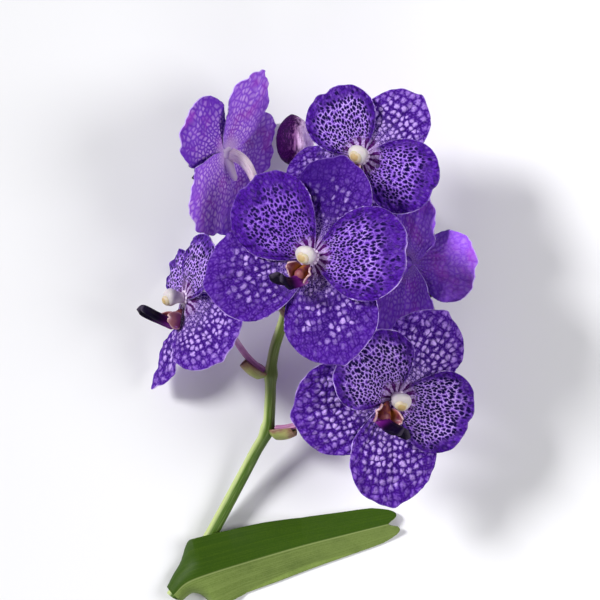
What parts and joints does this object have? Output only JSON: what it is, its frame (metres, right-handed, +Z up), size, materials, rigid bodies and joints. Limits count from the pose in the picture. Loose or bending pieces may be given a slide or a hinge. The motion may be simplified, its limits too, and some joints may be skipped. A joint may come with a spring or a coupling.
{
  "type": "cut vanda orchid spray",
  "caption": "Cut spray of violet netted vanda orchid blooms with a bud on a zigzag green stem and one strap leaf, lying flat.",
  "frame": {"origin": "middle of the bounding box's bottom, on the surface the cut spray lies on", "axes": "+Z up from the surface, towards the viewer of the picture; +Y along the stem from its cut foot to the bud; +X to the right as the picture shows it"},
  "size_m": [0.1722, 0.2796, 0.1106],
  "materials": {
    "violet": "satin petal, violet with a dark net and pale spots",
    "lip": "satin, near black purple with pink and brown side lobes",
    "column": "waxy, creamy white",
    "pedicel": "satin, pinkish white to mauve",
    "stem": "satin, light green",
    "leaf": "satin, mid green",
    "bud": "satin, dark magenta to pinkish white"
  },
  "bodies": {
    "root": {"front_bloom_tepals": "violet", "front_bloom_column": "column", "front_bloom_lip": "lip", "front_bloom_pedicel": "pedicel", "top_right_bloom_tepals": "violet", "top_right_bloom_column": "column", "top_right_bloom_lip": "lip", "top_right_bloom_pedicel": "pedicel", "top_left_bloom_tepals": "violet", "top_left_bloom_column": "column", "top_left_bloom_lip": "lip", "top_left_bloom_pedicel": "pedicel", "left_bloom_tepals": "violet", "left_bloom_column": "column", "left_bloom_lip": "lip", "left_bloom_pedicel": "pedicel", "low_right_bloom_tepals": "violet", "low_right_bloom_column": "column", "low_right_bloom_lip": "lip", "low_right_bloom_pedicel": "pedicel", "back_right_bloom_tepals": "violet", "back_right_bloom_column": "column", "back_right_bloom_lip": "lip", "back_right_bloom_pedicel": "pedicel", "stem": "stem", "leaf": "leaf", "bud": "bud", "bud_pedicel": "pedicel"}
  },
  "joints": []
}
